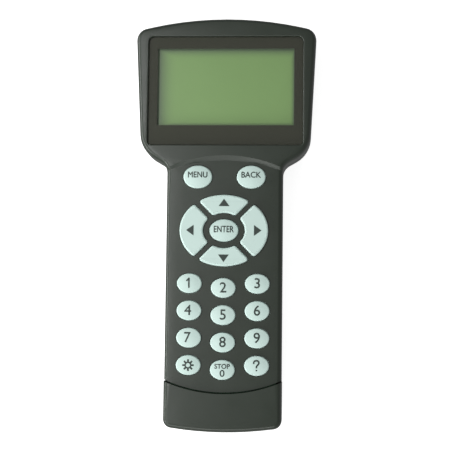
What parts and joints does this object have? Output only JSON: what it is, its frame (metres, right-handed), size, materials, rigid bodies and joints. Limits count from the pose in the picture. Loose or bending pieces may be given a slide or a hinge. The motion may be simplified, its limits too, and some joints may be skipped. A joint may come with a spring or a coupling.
{
  "type": "telescope hand controller",
  "caption": "Hand-held telescope controller: wide display head stepping down by an arch to a slim grip with an arrow ring and number keys, closed by an end cap with modular sockets.",
  "frame": {"origin": "middle of the bounding box at the back, where the controller lies on its back", "axes": "+Z out of the keys, +Y from the sockets towards the display, +X to the right seen from the front"},
  "size_m": [0.0878, 0.2002, 0.0246],
  "materials": {
    "case_plastic": "fine-textured satin charcoal",
    "back_plastic": "fine-textured satin charcoal",
    "window_clear": "clear polished acrylic",
    "black_film": "matt black film",
    "display_frame": "satin black pressed steel",
    "display_glass": "grey-green liquid crystal cell",
    "light_guide": "milky clear",
    "silicone_mat": "matt silicone",
    "board_laminate": "green solder mask",
    "screw_steel": "zinc plated",
    "chip_plastic": "matt black",
    "cell_steel": "bright nickel",
    "ribbon_plastic": "off-white",
    "socket_plastic": "satin black",
    "contact_gold": "gold flash",
    "lamp_clear": "clear red tint",
    "silicone_key": "translucent silicone, satin"
  },
  "bodies": {
    "case": {"front_shell": "case_plastic", "end_cap": "case_plastic", "rear_shell": "back_plastic", "display_window": "window_clear", "window_tape": "black_film", "lcd_gasket": "black_film", "lcd_frame": "display_frame", "lcd_glass": "display_glass", "lcd_backlight": "light_guide", "key_leds": "light_guide", "keypad_mat": "silicone_mat", "lcd_contact_strips": "silicone_mat", "lcd_board": "board_laminate", "main_board": "board_laminate", "case_screws": "screw_steel", "lcd_screws": "screw_steel", "board_screws": "screw_steel", "board_chips": "chip_plastic", "buzzer": "chip_plastic", "cell_holder": "chip_plastic", "clock_cell": "cell_steel", "ribbon_sockets": "ribbon_plastic", "display_ribbon": "ribbon_plastic", "mount_jack": "socket_plastic", "serial_jack": "socket_plastic", "mount_jack_contacts": "contact_gold", "serial_jack_contacts": "contact_gold", "reading_light_led": "lamp_clear", "reading_light_lens": "lamp_clear"},
    "key_menu": {"key_menu": "silicone_key"},
    "key_back": {"key_back": "silicone_key"},
    "key_enter": {"key_enter": "silicone_key"},
    "key_up": {"key_up": "silicone_key"},
    "key_left": {"key_left": "silicone_key"},
    "key_down": {"key_down": "silicone_key"},
    "key_right": {"key_right": "silicone_key"},
    "key_1": {"key_1": "silicone_key"},
    "key_2": {"key_2": "silicone_key"},
    "key_3": {"key_3": "silicone_key"},
    "key_4": {"key_4": "silicone_key"},
    "key_5": {"key_5": "silicone_key"},
    "key_6": {"key_6": "silicone_key"},
    "key_7": {"key_7": "silicone_key"},
    "key_8": {"key_8": "silicone_key"},
    "key_9": {"key_9": "silicone_key"},
    "key_light": {"key_light": "silicone_key"},
    "key_0": {"key_0": "silicone_key"},
    "key_help": {"key_help": "silicone_key"}
  },
  "joints": [
    {"name": "key_menu_press", "type": "slide", "parent": "case", "child": "key_menu", "axis": [0, 0, -1], "range_m": [0, 0.0011], "stiffness_N_per_m": 900, "deforming": ["keypad_mat"]},
    {"name": "key_back_press", "type": "slide", "parent": "case", "child": "key_back", "axis": [0, 0, -1], "range_m": [0, 0.0011], "stiffness_N_per_m": 900, "deforming": ["keypad_mat"]},
    {"name": "key_enter_press", "type": "slide", "parent": "case", "child": "key_enter", "axis": [0, 0, -1], "range_m": [0, 0.0011], "stiffness_N_per_m": 900, "deforming": ["keypad_mat"]},
    {"name": "key_up_press", "type": "slide", "parent": "case", "child": "key_up", "axis": [0, 0, -1], "range_m": [0, 0.0011], "stiffness_N_per_m": 900, "deforming": ["keypad_mat"]},
    {"name": "key_left_press", "type": "slide", "parent": "case", "child": "key_left", "axis": [0, 0, -1], "range_m": [0, 0.0011], "stiffness_N_per_m": 900, "deforming": ["keypad_mat"]},
    {"name": "key_down_press", "type": "slide", "parent": "case", "child": "key_down", "axis": [0, 0, -1], "range_m": [0, 0.0011], "stiffness_N_per_m": 900, "deforming": ["keypad_mat"]},
    {"name": "key_right_press", "type": "slide", "parent": "case", "child": "key_right", "axis": [0, 0, -1], "range_m": [0, 0.0011], "stiffness_N_per_m": 900, "deforming": ["keypad_mat"]},
    {"name": "key_1_press", "type": "slide", "parent": "case", "child": "key_1", "axis": [0, 0, -1], "range_m": [0, 0.0011], "stiffness_N_per_m": 900, "deforming": ["keypad_mat"]},
    {"name": "key_2_press", "type": "slide", "parent": "case", "child": "key_2", "axis": [0, 0, -1], "range_m": [0, 0.0011], "stiffness_N_per_m": 900, "deforming": ["keypad_mat"]},
    {"name": "key_3_press", "type": "slide", "parent": "case", "child": "key_3", "axis": [0, 0, -1], "range_m": [0, 0.0011], "stiffness_N_per_m": 900, "deforming": ["keypad_mat"]},
    {"name": "key_4_press", "type": "slide", "parent": "case", "child": "key_4", "axis": [0, 0, -1], "range_m": [0, 0.0011], "stiffness_N_per_m": 900, "deforming": ["keypad_mat"]},
    {"name": "key_5_press", "type": "slide", "parent": "case", "child": "key_5", "axis": [0, 0, -1], "range_m": [0, 0.0011], "stiffness_N_per_m": 900, "deforming": ["keypad_mat"]},
    {"name": "key_6_press", "type": "slide", "parent": "case", "child": "key_6", "axis": [0, 0, -1], "range_m": [0, 0.0011], "stiffness_N_per_m": 900, "deforming": ["keypad_mat"]},
    {"name": "key_7_press", "type": "slide", "parent": "case", "child": "key_7", "axis": [0, 0, -1], "range_m": [0, 0.0011], "stiffness_N_per_m": 900, "deforming": ["keypad_mat"]},
    {"name": "key_8_press", "type": "slide", "parent": "case", "child": "key_8", "axis": [0, 0, -1], "range_m": [0, 0.0011], "stiffness_N_per_m": 900, "deforming": ["keypad_mat"]},
    {"name": "key_9_press", "type": "slide", "parent": "case", "child": "key_9", "axis": [0, 0, -1], "range_m": [0, 0.0011], "stiffness_N_per_m": 900, "deforming": ["keypad_mat"]},
    {"name": "key_light_press", "type": "slide", "parent": "case", "child": "key_light", "axis": [0, 0, -1], "range_m": [0, 0.0011], "stiffness_N_per_m": 900, "deforming": ["keypad_mat"]},
    {"name": "key_0_press", "type": "slide", "parent": "case", "child": "key_0", "axis": [0, 0, -1], "range_m": [0, 0.0011], "stiffness_N_per_m": 900, "deforming": ["keypad_mat"]},
    {"name": "key_help_press", "type": "slide", "parent": "case", "child": "key_help", "axis": [0, 0, -1], "range_m": [0, 0.0011], "stiffness_N_per_m": 900, "deforming": ["keypad_mat"]}
  ]
}
